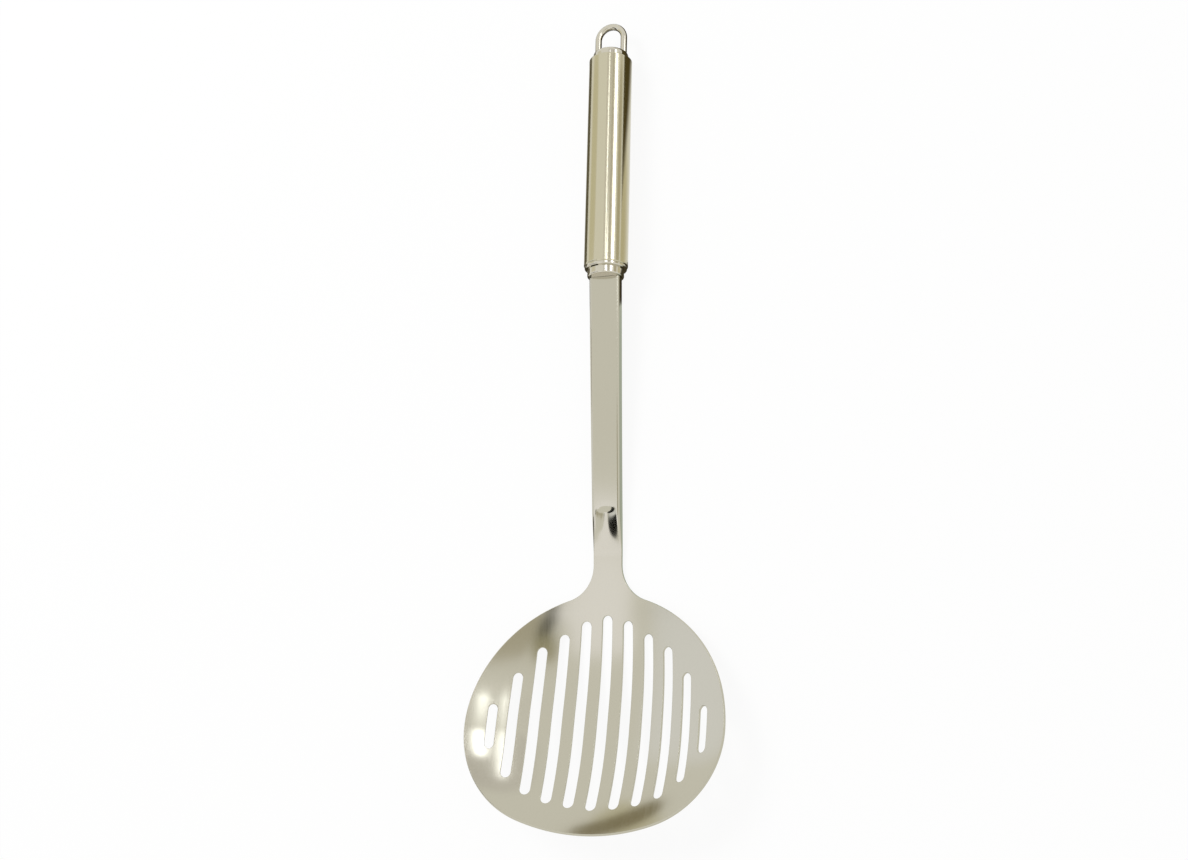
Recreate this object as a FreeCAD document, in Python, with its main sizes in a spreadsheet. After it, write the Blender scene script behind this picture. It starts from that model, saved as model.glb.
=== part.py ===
import FreeCAD, Part
import math
import os
import Sketcher

# Skimmer: a stamped sheet with a slotted bowl, a hollowed neck and a shank whose edges are folded back,
# fixed by its tang in a round tube handle with a stepped collar, a stepped end cap and a wire hanging loop.
#
# The sheet is drawn in its own frame: the origin is the lowest point of the bowl's inner face, +Y runs
# towards the handle, +Z is the open side. The handle's pieces are drawn about their own axis, with z = 0
# at the tube's lower end. At the end the whole part is laid down as it rests on a table.

V = FreeCAD.Vector

# Driving dimensions, in millimetres and degrees
SIZES = [
    ("sheet_thickness", 1.2, "stamped sheet"),
    ("bowl_width", 114.4, "bowl, side to side"),
    ("bowl_tip_reach", 43.7, "lowest point to the tip's edge, in plan"),
    ("bowl_side_radius", 41.0, "outline beside the tip"),
    ("bowl_shoulder_radius", 60.3, "outline beside the neck"),
    ("neck_fillet_radius", 16.0, "outline where bowl and neck meet"),
    ("trim_margin", 3.0, "pressed blank beyond the finished outline"),
    ("dish_cross_radius", 120.0, "bowl's curve from side to side"),
    ("dish_tip_radius", 88.0, "bowl's curve towards the tip"),
    ("dish_flat_length", 12.0, "straight middle of the bowl's length"),
    ("dish_neck_radius", 160.0, "bowl's curve towards the neck"),
    ("neck_rise_angle", 14.2, "slope of the neck above the bowl"),
    ("slot_pitch", 10.19, "slots, centre to centre in the flat blank"),
    ("slot_width", 4.8, "width of a slot in the flat blank"),
    ("middle_slot_neck_reach", 50.7, "lowest point to the middle slot's end at the neck"),
    ("middle_slot_tip_reach", 33.2, "lowest point to the middle slot's end at the tip"),
    ("second_slot_neck_reach", 48.2, "the same for the slots beside it, and so on outwards"),
    ("second_slot_tip_reach", 32.4, "second slots, towards the tip"),
    ("third_slot_neck_reach", 42.3, "third slots, towards the neck"),
    ("third_slot_tip_reach", 30.9, "third slots, towards the tip"),
    ("fourth_slot_neck_reach", 36.3, "fourth slots, towards the neck"),
    ("fourth_slot_tip_reach", 27.7, "fourth slots, towards the tip"),
    ("fifth_slot_neck_reach", 24.7, "fifth slots, towards the neck"),
    ("fifth_slot_tip_reach", 21.0, "fifth slots, towards the tip"),
    ("outermost_slot_neck_reach", 10.2, "outermost slots, towards the neck"),
    ("outermost_slot_tip_reach", 9.2, "outermost slots, towards the tip"),
    ("slot_draw_in", 0.1, "share by which the pressing draws the blank inwards at its edge"),
    ("blank_reach", 58.0, "lowest point to the flat blank's edge"),
    ("neck_width", 13.1, "neck and lower end of the shank"),
    ("neck_length", 25.0, "straight neck above the bowl's curve"),
    ("step_run", 18.0, "step from the neck up to the shank, along the bowl"),
    ("step_rise", 8.02, "the same step, off the bowl"),
    ("hollow_radius", 12.0, "hollow pressed into the step, at its upper end"),
    ("hollow_low_radius", 30.0, "the same hollow near the neck"),
    ("shank_rise_angle", 17.06, "slope of the shank's lower end above the bowl"),
    ("shank_width", 14.4, "shank at the handle"),
    ("shank_length", 106.0, "step to the collar"),
    ("shank_arch_radius", 4000.0, "slight outward arch of the shank"),
    ("channel_depth", 4.2, "folded edges, with the sheet's thickness"),
    ("fold_radius", 1.8, "outside of the fold"),
    ("fold_start_lip", 0.18, "folded edge where it leaves the flat neck"),
        ("tang_length", 42.0, "channel inside the tube"),
    ("handle_angle", 11.1, "slope of the handle above the bowl"),
    ("shank_offset", 2.4, "handle's axis to the shank's face"),
    ("tube_diameter", 20.0, "handle tube, outside"),
    ("tube_wall", 1.0, "handle tube"),
    ("tube_length", 102.0, "handle tube"),
    ("rim_bevel", 0.4, "worn outer rims of the tube"),
    ("plug_clearance", 0.05, "collar and cap in the tube, on the radius"),
    ("collar_plug_length", 8.0, "collar inside the tube"),
    ("collar_band_diameter", 19.2, "collar's wide band"),
    ("collar_band_length", 1.4, "collar's wide band"),
    ("collar_ring_diameter", 16.6, "collar's narrow ring"),
    ("collar_ring_length", 3.6, "collar's narrow ring"),
    ("collar_bevel", 0.5, "edges of the collar"),
    ("shank_clearance", 0.1, "shank in the collar's opening"),
    ("cap_plug_length", 8.0, "cap inside the tube"),
    ("cap_head_diameter", 16.4, "cap's head"),
    ("cap_head_height", 4.0, "cap's head"),
    ("cap_bevel", 1.1, "edge of the cap's head"),
    ("wire_diameter", 3.0, "hanging loop"),
    ("loop_leg_spacing", 12.5, "hanging loop, wire centre to centre"),
    ("loop_rise", 15.4, "hanging loop above the cap"),
    ("leg_socket_depth", 8.0, "hanging loop in the cap"),
    ("leg_clearance", 0.05, "wire in its socket, on the radius"),
]

# Slots from the middle one outwards, each but the first on both sides
SLOTS = ["middle", "second", "third", "fourth", "fifth", "outermost"]

# Sections of the step: share of its run, share of the fold's full depth, and the face's radius
STEP_SECTIONS = [
    ("step_low", 0.3, 0.2, "hollow_low_radius"),
    ("step_middle", 0.55, 0.55, "hollow_radius"),
    ("step_high", 0.82, 0.9, "hollow_radius"),
]

# Inside of a fold, as the least share of its outside radius
TIGHTEST_FOLD = 1 / 3

doc = FreeCAD.newDocument("Skimmer")
sheet = doc.addObject("Spreadsheet::Sheet", "Sizes")


def write_size(row, alias, number, note):
    sheet.set("A%d" % row, note)
    sheet.set("B%d" % row, str(number))
    sheet.setAlias("B%d" % row, alias)


for row, (alias, size, note) in enumerate(SIZES, start=1):
    write_size(row, alias, size, note)
doc.recompute()


def size(alias):
    return float(sheet.get(alias))


# Helpers for bodies, sketches and features


def new_body(label):
    body = doc.addObject("PartDesign::Body", label)
    body.Label = label
    return body


def origin_plane(body, role):
    return [feature for feature in body.Origin.OriginFeatures if feature.Role == role][0]


def new_sketch(body, name, role, offset=FreeCAD.Placement()):
    sketch = body.newObject("Sketcher::SketchObject", name)
    sketch.AttachmentSupport = [(origin_plane(body, role), "")]
    sketch.MapMode = "FlatFace"
    sketch.AttachmentOffset = offset
    return sketch


def circle_about_origin(sketch, diameter, expression):
    edge = sketch.addGeometry(Part.Circle(V(0, 0, 0), V(0, 0, 1), diameter / 2))
    sketch.addConstraint(Sketcher.Constraint("Coincident", edge, 3, -1, 1))
    bound = sketch.addConstraint(Sketcher.Constraint("Diameter", edge, diameter))
    sketch.setExpression("Constraints[%d]" % bound, expression)


def closed_line(sketch, points):
    for start, end in zip(points, points[1:] + points[:1]):
        sketch.addGeometry(Part.LineSegment(V(*start, 0), V(*end, 0)))


def arc_or_line(start, middle, end):
    start, middle, end = V(*start, 0), V(*middle, 0), V(*end, 0)
    if middle.distanceToLine(start, end - start) < 1e-5:
        return Part.LineSegment(start, end)
    return Part.Arc(start, middle, end)


def join_ends(sketch, edges):
    """Tie each edge to the next one at the ends where they meet; an arc may be stored either way round."""
    for first, second in zip(edges, edges[1:] + edges[:1]):
        ends = [(here, there) for here in (1, 2) for there in (1, 2)]
        gaps = [sketch.getPoint(first, here).distanceToPoint(sketch.getPoint(second, there)) for here, there in ends]
        here, there = ends[gaps.index(min(gaps))]
        sketch.addConstraint(Sketcher.Constraint("Coincident", first, here, second, there))


def pad(body, name, sketch, length, backwards=False):
    feature = body.newObject("PartDesign::Pad", name)
    feature.Profile = sketch
    feature.Reversed = backwards
    feature.setExpression("Length", length)
    return feature


def cut_through(body, name, sketch):
    doc.recompute()
    before = body.Shape.Volume
    if not all(wire.isClosed() for wire in sketch.Shape.Wires):
        raise RuntimeError(sketch.Label + " has an open outline")
    feature = body.newObject("PartDesign::Pocket", name)
    feature.Profile = sketch
    feature.Type = "ThroughAll"
    feature.Midplane = True
    doc.recompute()
    if body.Shape.Volume > before - 1:
        raise RuntimeError(name + " removed nothing")


def bevel_edges(body, name, width, wanted):
    doc.recompute()
    last = body.Tip
    names = ["Edge%d" % n for n, edge in enumerate(last.Shape.Edges, start=1) if wanted(edge)]
    feature = body.newObject("PartDesign::Chamfer", name)
    feature.Base = (last, names)
    feature.setExpression("Size", width)


def rim_test(radius, height):
    def wanted(edge):
        curve = edge.Curve
        is_rim = isinstance(curve, Part.Circle) and abs(curve.Radius - radius) < 1e-4
        return is_rim and abs(curve.Center.z - height) < 1e-4
    return wanted


# Centre line of the sheet's upper face, seen from the side: (y, z, slope in radians)

rise = math.radians(size("neck_rise_angle"))
shank_rise = math.radians(size("shank_rise_angle"))


def neck_station(distance):
    """A place on the straight neck, past the bowl's curve."""
    radius = size("dish_neck_radius")
    y = size("dish_flat_length") + radius * math.sin(rise) + distance * math.cos(rise)
    z = radius * (1 - math.cos(rise)) + distance * math.sin(rise)
    return y, z, rise


def step_station(share):
    """A place on the step, which leaves the neck and meets the shank without a kink."""
    run = size("step_run")
    start_y, start_z, _ = neck_station(size("neck_length"))
    start_slope, end_slope = run * math.tan(rise), run * math.tan(shank_rise)
    climb = size("step_rise")
    bend = 3 * climb - 2 * start_slope - end_slope
    curl = start_slope + end_slope - 2 * climb
    z = start_z + start_slope * share + bend * share ** 2 + curl * share ** 3
    steepness = start_slope + 2 * bend * share + 3 * curl * share ** 2
    return start_y + run * share, z, math.atan(steepness / run)


def shank_station(distance):
    """A place on the slightly arched shank, past the step."""
    start_y, start_z, _ = step_station(1)
    arch = size("shank_arch_radius")
    slope = shank_rise - distance / arch
    y = start_y + arch * (math.sin(shank_rise) - math.sin(slope))
    z = start_z + arch * (math.cos(slope) - math.cos(shank_rise))
    return y, z, slope


def across(y, z, slope):
    """Sketch placement across the centre line: sketch x to the side, sketch y off the upper face."""
    return FreeCAD.Placement(V(0, z, -y), FreeCAD.Rotation(V(1, 0, 0), math.degrees(slope)))


# Sheet: bowl, neck, shank and tang

bowl_sheet = new_body("slotted_bowl_and_shank")
thickness = size("sheet_thickness")
cross_radius = size("dish_cross_radius")


def band_sketch(name, station):
    """Section of the dished blank: two arcs about one centre."""
    sketch = new_sketch(bowl_sheet, name, "XZ_Plane", across(*station))
    outer_radius = cross_radius + thickness
    upper_end = cross_radius - math.sqrt(cross_radius ** 2 - blank_half ** 2)
    outer_half = blank_half * outer_radius / cross_radius
    lower_end = cross_radius - math.sqrt(outer_radius ** 2 - outer_half ** 2)
    upper = [(-blank_half, upper_end), (0, 0), (blank_half, upper_end)]
    lower = [(outer_half, lower_end), (0, -thickness), (-outer_half, lower_end)]
    sketch.addGeometry(arc_or_line(*upper))
    sketch.addGeometry(Part.LineSegment(V(*upper[2], 0), V(*lower[0], 0)))
    sketch.addGeometry(arc_or_line(*lower))
    sketch.addGeometry(Part.LineSegment(V(*lower[2], 0), V(*upper[0], 0)))
    return sketch


def loft(name, sections):
    feature = bowl_sheet.newObject("PartDesign::AdditiveLoft", name)
    feature.Profile = sections[0]
    feature.Sections = sections[1:]
    doc.recompute()


def tip_station(share):
    """A place on the bowl's curve towards the tip, as a share of its length with the trim margin."""
    radius = size("dish_tip_radius")
    turn = share * math.asin((size("bowl_tip_reach") + size("trim_margin")) / radius)
    return -radius * math.sin(turn), radius * (1 - math.cos(turn)), -turn


def bowl_station(share):
    """A place on the bowl's curve towards the neck, as a share of its length."""
    radius = size("dish_neck_radius")
    turn = share * rise
    return size("dish_flat_length") + radius * math.sin(turn), radius * (1 - math.cos(turn)), turn


blank_half = size("bowl_width") / 2 + size("trim_margin")
dish_stations = [tip_station(share) for share in (1, 0.75, 0.5, 0.25, 0)]
dish_stations += [bowl_station(share) for share in (0, 0.25, 0.5, 0.75, 1)]
dish_stations += [neck_station(size("neck_length") * share) for share in (0.5, 1)]
dish_sections = [band_sketch("dish_%d" % n, station) for n, station in enumerate(dish_stations)]
loft("dished_blank", dish_sections)

# Outline of the bowl and neck: tip arc, side arcs, shoulder arcs, fillets and the neck's edges

half_width = size("bowl_width") / 2
tip_reach = size("bowl_tip_reach")
side_radius = size("bowl_side_radius")
side_x = half_width - side_radius
tip_arc_radius = (side_x ** 2 + tip_reach ** 2 - side_radius ** 2) / (2 * (tip_reach - side_radius))
tip_arc_y = tip_arc_radius - tip_reach
shoulder_radius = size("bowl_shoulder_radius")
shoulder_x = half_width - shoulder_radius
fillet_radius = size("neck_fillet_radius")
neck_width = size("neck_width")
neck_half = neck_width / 2
fillet_x = neck_half + fillet_radius
fillet_y = math.sqrt((shoulder_radius + fillet_radius) ** 2 - (fillet_x - shoulder_x) ** 2)
reach = tip_arc_radius / math.hypot(side_x, tip_arc_y)
tip_join = (side_x * reach, tip_arc_y - tip_arc_y * reach)
share = shoulder_radius / (shoulder_radius + fillet_radius)
fillet_join = (shoulder_x + (fillet_x - shoulder_x) * share, fillet_y * share)


def mirrored(point):
    return (-point[0], point[1])


def between(centre, radius, start, end):
    """Middle of the arc from start to end about a centre."""
    middle_x = (start[0] + end[0]) / 2 - centre[0]
    middle_y = (start[1] + end[1]) / 2 - centre[1]
    scale = radius / math.hypot(middle_x, middle_y)
    return (centre[0] + middle_x * scale, centre[1] + middle_y * scale)


trim_end = fillet_y + size("neck_length") + size("trim_margin")
widest = (half_width, 0)
fillet_top = (neck_half, fillet_y)
right_edge = [
    (tip_join, between((side_x, 0), side_radius, tip_join, widest), widest),
    (widest, between((shoulder_x, 0), shoulder_radius, widest, fillet_join), fillet_join),
    (fillet_join, between((fillet_x, fillet_y), fillet_radius, fillet_join, fillet_top), fillet_top),
]
outline = new_sketch(bowl_sheet, "outline", "XY_Plane")
outline.addGeometry(arc_or_line(mirrored(tip_join), (0, -tip_reach), tip_join))
for start, middle, end in right_edge:
    outline.addGeometry(arc_or_line(start, middle, end))
    outline.addGeometry(arc_or_line(mirrored(start), mirrored(middle), mirrored(end)))
outline.addGeometry(Part.LineSegment(V(neck_half, fillet_y, 0), V(neck_half, trim_end, 0)))
outline.addGeometry(Part.LineSegment(V(neck_half, trim_end, 0), V(-neck_half, trim_end, 0)))
outline.addGeometry(Part.LineSegment(V(-neck_half, trim_end, 0), V(-neck_half, fillet_y, 0)))
far_side = 2 * half_width
closed_line(outline, [(-far_side, -far_side), (far_side, -far_side), (far_side, far_side), (-far_side, far_side)])
cut_through(bowl_sheet, "outline_trim", outline)

# Draining slots: straight in the flat blank, drawn slightly inwards at their ends by the pressing


def drawn_in(blank_x, y):
    squeeze = size("slot_draw_in") * (blank_x ** 2 + y ** 2) / size("blank_reach") ** 2
    return (blank_x * (1 - squeeze), y)


def add_slot(sketch, blank_x, top, bottom):
    half = size("slot_width") / 2
    left, right = blank_x - half, blank_x + half
    top_y, low_y = top - half, half - bottom
    middle_y = (top_y + low_y) / 2
    corners = [(left, low_y), (left, top_y), (right, top_y), (right, low_y)]
    middles = [(left, middle_y), (blank_x, top), (right, middle_y), (blank_x, -bottom)]
    edges = []
    for start, middle, end in zip(corners, middles, corners[1:] + corners[:1]):
        edges.append(sketch.addGeometry(arc_or_line(drawn_in(*start), drawn_in(*middle), drawn_in(*end))))
    join_ends(sketch, edges)


slots = new_sketch(bowl_sheet, "draining_slots", "XY_Plane")
for place, name in enumerate(SLOTS):
    for side in ((-1, 1) if place else (1,)):
        top = size(name + "_slot_neck_reach")
        bottom = size(name + "_slot_tip_reach")
        add_slot(slots, side * place * size("slot_pitch"), top, bottom)
cut_through(bowl_sheet, "slot_cut", slots)
if len(slots.Shape.Wires) != 2 * len(SLOTS) - 1:
    raise RuntimeError("a slot is missing")

# Neck and shank: a channel section whose folded edges grow out of the flat neck


def channel_sketch(name, station, width, depth, fold, face_radius):
    """Section of the folded sheet: its face hollow below the level of its folds, its edges turned back."""
    sketch = new_sketch(bowl_sheet, name, "XZ_Plane", across(*station))
    inner_fold = max(fold - thickness, fold * TIGHTEST_FOLD)
    outer_x = width / 2
    face_x = outer_x - fold
    face_y = cross_radius - math.sqrt(cross_radius ** 2 - face_x ** 2)
    bottom = face_y - face_radius + math.sqrt(face_radius ** 2 - face_x ** 2)
    wall_x = outer_x - thickness
    back_x = wall_x - inner_fold
    back_y = bottom + face_radius - math.sqrt((face_radius + thickness) ** 2 - back_x ** 2)
    half_turn = math.sqrt(0.5)

    def corner(x, y, radius):
        middle = (x + radius * half_turn, y - radius + radius * half_turn)
        return (x, y), middle, (x + radius, y - radius)

    outer = corner(face_x, face_y, fold)
    inner = corner(back_x, back_y, inner_fold)
    sketch.addGeometry(arc_or_line(mirrored(outer[0]), (0, bottom), outer[0]))
    sketch.addGeometry(arc_or_line(*outer))
    sketch.addGeometry(Part.LineSegment(V(*outer[2], 0), V(outer_x, -depth, 0)))
    sketch.addGeometry(Part.LineSegment(V(outer_x, -depth, 0), V(wall_x, -depth, 0)))
    sketch.addGeometry(Part.LineSegment(V(wall_x, -depth, 0), V(*inner[2], 0)))
    sketch.addGeometry(arc_or_line(*reversed(inner)))
    sketch.addGeometry(arc_or_line(inner[0], (0, bottom - thickness), mirrored(inner[0])))
    sketch.addGeometry(arc_or_line(*[mirrored(point) for point in inner]))
    sketch.addGeometry(Part.LineSegment(V(*mirrored(inner[2]), 0), V(-wall_x, -depth, 0)))
    sketch.addGeometry(Part.LineSegment(V(-wall_x, -depth, 0), V(-outer_x, -depth, 0)))
    sketch.addGeometry(Part.LineSegment(V(-outer_x, -depth, 0), V(*mirrored(outer[2]), 0)))
    sketch.addGeometry(arc_or_line(*[mirrored(point) for point in reversed(outer)]))
    return sketch


depth = size("channel_depth")
fold = size("fold_radius")
lip = size("fold_start_lip")
handle_slope = math.radians(size("handle_angle"))
shank_length = size("shank_length")
collar_y, collar_z, _ = shank_station(shank_length)


def grown(share):
    """Depth and fold radius where the folded edge has grown to a share of its full depth."""
    return thickness + lip + (depth - thickness - lip) * share, lip + (fold - lip) * share


neck_sections = [channel_sketch("neck_end", step_station(0), neck_width, *grown(0), cross_radius)]
for name, share, fold_share, radius in STEP_SECTIONS:
    station = step_station(share)
    neck_sections.append(channel_sketch(name, station, neck_width, *grown(fold_share), size(radius)))
neck_sections.append(channel_sketch("shank_start", step_station(1), neck_width, depth, fold, cross_radius))
loft("neck_loft", neck_sections)
halfway = shank_station(shank_length / 2)
halfway_width = (neck_width + size("shank_width")) / 2
shank_middle = channel_sketch("shank_middle", halfway, halfway_width, depth, fold, cross_radius)
collar_station = (collar_y, collar_z, handle_slope)
shank_end = channel_sketch("shank_end", collar_station, size("shank_width"), depth, fold, cross_radius)
loft("shank_loft", [neck_sections[-1], shank_middle, shank_end])
tang_pad_length = "Sizes.collar_band_length + Sizes.collar_ring_length + Sizes.tang_length"
pad(bowl_sheet, "tang", shank_end, tang_pad_length, backwards=True)
doc.recompute()

# Handle's frame: z along its axis to the loop, the sheet's face towards -y, z = 0 at the tube's lower end

projection = size("collar_band_length") + size("collar_ring_length")
offset = size("shank_offset")
handle_y = collar_y + projection * math.cos(handle_slope) + offset * math.sin(handle_slope)
handle_z = collar_z + projection * math.sin(handle_slope) - offset * math.cos(handle_slope)
handle_turn = FreeCAD.Rotation(V(1, 0, 0), size("handle_angle") - 90)
handle_frame = FreeCAD.Placement(V(0, handle_y, handle_z), handle_turn)

# Handle tube

tube = new_body("handle_tube")
tube_length = size("tube_length")
tube_section = new_sketch(tube, "tube_section", "XY_Plane")
circle_about_origin(tube_section, size("tube_diameter"), "Sizes.tube_diameter")
bore = size("tube_diameter") - 2 * size("tube_wall")
circle_about_origin(tube_section, bore, "Sizes.tube_diameter - 2 * Sizes.tube_wall")
pad(tube, "tube_wall_pad", tube_section, "Sizes.tube_length")
outer_radius = size("tube_diameter") / 2


def outer_rims(edge):
    return rim_test(outer_radius, 0)(edge) or rim_test(outer_radius, tube_length)(edge)


bevel_edges(tube, "bevelled_rims", "Sizes.rim_bevel", outer_rims)


def turned_body(label, half_profile):
    """A turned piece: the half profile as (radius, z) points, closed along the axis."""
    body = new_body(label)
    sketch = new_sketch(body, label + "_profile", "XZ_Plane")
    closed_line(sketch, half_profile)
    turning = body.newObject("PartDesign::Revolution", label + "_turning")
    turning.Profile = sketch
    turning.ReferenceAxis = (sketch, ["V_Axis"])
    doc.recompute()
    return body


plug_radius = bore / 2 - size("plug_clearance")

# Collar: plug in the tube, wide band against the tube's end, narrow ring with the shank's opening

band_radius = size("collar_band_diameter") / 2
ring_radius = size("collar_ring_diameter") / 2
band_end = -size("collar_band_length")
plug_end = size("collar_plug_length")
collar = turned_body("shank_collar", [
    (0, plug_end), (plug_radius, plug_end), (plug_radius, 0), (band_radius, 0),
    (band_radius, band_end), (ring_radius, band_end), (ring_radius, -projection), (0, -projection),
])


def collar_edges(edge):
    return rim_test(band_radius, band_end)(edge) or rim_test(ring_radius, -projection)(edge)


bevel_edges(collar, "bevelled_collar", "Sizes.collar_bevel", collar_edges)
doc.recompute()
opening = new_sketch(collar, "shank_opening", "XY_Plane")
gap = size("shank_clearance")
opening_x = size("shank_width") / 2 + gap
corner_rise = cross_radius - math.sqrt(cross_radius ** 2 - (size("shank_width") / 2 - fold) ** 2)
front_y = -(offset + corner_rise + gap)
back_y = front_y + corner_rise + depth + 2 * gap
closed_line(opening, [(-opening_x, front_y), (opening_x, front_y), (opening_x, back_y), (-opening_x, back_y)])
cut_through(collar, "opening_cut", opening)

# End cap: plug in the tube and a bevelled head with two sockets for the loop's legs

cap_top = tube_length + size("cap_head_height")
head_radius = size("cap_head_diameter") / 2
cap_bottom = tube_length - size("cap_plug_length")
cap = turned_body("end_cap", [
    (0, cap_bottom), (plug_radius, cap_bottom), (plug_radius, tube_length),
    (head_radius, tube_length), (head_radius, cap_top), (0, cap_top),
])
bevel_edges(cap, "bevelled_head", "Sizes.cap_bevel", rim_test(head_radius, cap_top))
doc.recompute()
sockets = new_sketch(cap, "leg_sockets", "XY_Plane", FreeCAD.Placement(V(0, 0, cap_top), FreeCAD.Rotation()))
leg_x = size("loop_leg_spacing") / 2
socket_radius = size("wire_diameter") / 2 + size("leg_clearance")
for side in (-1, 1):
    sockets.addGeometry(Part.Circle(V(side * leg_x, 0, 0), V(0, 0, 1), socket_radius))
socket_cut = cap.newObject("PartDesign::Pocket", "socket_cut")
socket_cut.Profile = sockets
socket_cut.setExpression("Length", "Sizes.leg_socket_depth")
solid_cap = cap.Shape.Volume
doc.recompute()
if cap.Shape.Volume > solid_cap - 1:
    raise RuntimeError("the sockets removed nothing")

# Hanging loop: one bent wire, its legs standing on the floors of the sockets

loop = new_body("hanging_loop")
leg_foot = cap_top - size("leg_socket_depth")
bend_z = cap_top + size("loop_rise") - size("wire_diameter") / 2 - leg_x
path = new_sketch(loop, "wire_path", "XZ_Plane")
path.addGeometry(Part.LineSegment(V(leg_x, leg_foot, 0), V(leg_x, bend_z, 0)))
path.addGeometry(Part.Arc(V(leg_x, bend_z, 0), V(0, bend_z + leg_x, 0), V(-leg_x, bend_z, 0)))
path.addGeometry(Part.LineSegment(V(-leg_x, bend_z, 0), V(-leg_x, leg_foot, 0)))
foot = new_sketch(loop, "wire_section", "XY_Plane", FreeCAD.Placement(V(leg_x, 0, leg_foot), FreeCAD.Rotation()))
circle_about_origin(foot, size("wire_diameter"), "Sizes.wire_diameter")
wire = loop.newObject("PartDesign::AdditivePipe", "bent_wire")
wire.Profile = foot
wire.Spine = path
doc.recompute()

# Lay the part down: it rests on the bowl's underside near the neck and on the tube's far end

bodies = [bowl_sheet, tube, collar, cap, loop]
far_edge = handle_frame.multVec(V(0, outer_radius, tube_length))
underside = size("dish_neck_radius") + thickness
run = far_edge.y - size("dish_flat_length")
fall = size("dish_neck_radius") - far_edge.z
rest_turn = math.atan2(run, fall) - math.acos(underside / math.hypot(run, fall))
laid_down = FreeCAD.Placement(V(0, 0, 0), FreeCAD.Rotation(V(1, 0, 0), -math.degrees(rest_turn)))
for body in bodies:
    local = FreeCAD.Placement() if body is bowl_sheet else handle_frame
    body.Placement = laid_down.multiply(local)
doc.recompute()
boxes = [body.Shape.optimalBoundingBox(True, False) for body in bodies]
shift_y = -(min(box.YMin for box in boxes) + max(box.YMax for box in boxes)) / 2
shift_z = -min(box.ZMin for box in boxes)
for body in bodies:
    body.Placement = FreeCAD.Placement(V(0, shift_y, shift_z), FreeCAD.Rotation()).multiply(body.Placement)
doc.recompute()

# Check every object, then write one file for each piece

for item in doc.Objects:
    if "Invalid" in item.State or "Error" in item.State:
        raise RuntimeError(item.Label + " failed: " + str(item.State))
for body in bodies:
    if body.Shape.isNull() or not body.Shape.isValid() or len(body.Shape.Solids) != 1:
        raise RuntimeError(body.Label + " is not one valid solid")

os.makedirs("parts", exist_ok=True)
for body in bodies:
    body.Shape.exportStep("parts/" + body.Label + ".step")
    box = body.Shape.optimalBoundingBox(True, False)
    corners = (box.XMin, box.YMin, box.ZMin, box.XMax, box.YMax, box.ZMax)
    print(body.Label, "volume %.1f" % body.Shape.Volume, "box", ["%.2f" % corner for corner in corners])
print("bowl frame to world: turn %.4f deg, y %.4f, z %.4f" % (-math.degrees(rest_turn), shift_y, shift_z))
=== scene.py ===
"""Skimmer: slotted bowl, hollowed neck and folded shank stamped from one sheet, and a tube handle.

Laid out as an add-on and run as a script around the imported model.
"""
import math

import bmesh
import bpy
import numpy as np
from mathutils import Matrix, Vector
from mathutils.geometry import delaunay_2d_cdt


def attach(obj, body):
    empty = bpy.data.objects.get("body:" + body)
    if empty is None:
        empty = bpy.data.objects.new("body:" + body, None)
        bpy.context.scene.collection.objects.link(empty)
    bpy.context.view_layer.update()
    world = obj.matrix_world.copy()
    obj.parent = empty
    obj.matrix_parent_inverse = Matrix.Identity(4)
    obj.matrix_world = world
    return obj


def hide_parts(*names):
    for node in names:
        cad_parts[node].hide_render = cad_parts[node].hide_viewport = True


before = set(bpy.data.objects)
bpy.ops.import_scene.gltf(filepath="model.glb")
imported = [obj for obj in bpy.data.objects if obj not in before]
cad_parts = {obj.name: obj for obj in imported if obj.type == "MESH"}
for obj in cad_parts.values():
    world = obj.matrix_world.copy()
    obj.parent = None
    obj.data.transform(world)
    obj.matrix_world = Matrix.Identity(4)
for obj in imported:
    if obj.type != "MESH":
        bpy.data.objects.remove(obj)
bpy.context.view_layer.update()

bl_info = {
    "name": "Skimmer",
    "version": (1, 0, 0),
    "blender": (4, 5, 0),
    "location": "3D View > Sidebar > Skimmer",
    "description": "Builds the skimmer's pieces, their steel finishes and a plain studio",
    "category": "Object",
}

# The sheet is worked out about the lowest point of the bowl's inner face, then laid down to rest
REST_PLACE = (0, -0.1434002, 0.0072275)
REST_TILT = math.radians(-12.0545)
LAID_DOWN = Matrix.Translation(REST_PLACE) @ Matrix.Rotation(REST_TILT, 4, "X")

# Slots from the middle one outwards: reach towards the neck and towards the tip, in metres
SLOT_REACHES = (
    (0.0507, 0.0332), (0.0482, 0.0324), (0.0423, 0.0309),
    (0.0363, 0.0277), (0.0247, 0.0210), (0.0102, 0.0092),
)

# How finely the pieces are drawn: counts of points or sections
EDGE_POINTS = 4  # round each cut edge of the sheet
FACE_POINTS = 25  # across each face of the neck and shank
STEP_SECTIONS = 61
HOLLOW_SECTIONS = 13  # where the hollow runs on past the step
SHANK_SECTIONS = 44
CORNER_POINTS = 7  # round each corner of a turned piece
TURNED_POINTS = 160  # round a turned piece
WIRE_POINTS = 40  # round the wire, and along each bend

# Distances in metres
SLOPE_STEP = 1e-5  # between the places that a slope is taken from
MERGE_DISTANCE = 1e-6  # points closer than this become one
ON_FACE = 4e-6  # a point this near a face counts as part of it
PAST_COLLAR, PAST_CAP = 0.02, 0.2  # how far the cutters reach, well past the pieces

CRISP_ANGLE = math.radians(35)  # edges sharper than this aren't shaded smooth


def length(name, millimetres, description):
    return bpy.props.FloatProperty(
        name=name, description=description, default=millimetres / 1000, min=0,
        unit="LENGTH", precision=5,
    )


def angle(name, degrees, description):
    return bpy.props.FloatProperty(
        name=name, description=description, default=math.radians(degrees), subtype="ANGLE"
    )


def share(name, amount, description):
    return bpy.props.FloatProperty(name=name, description=description, default=amount, min=0, max=1)


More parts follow.
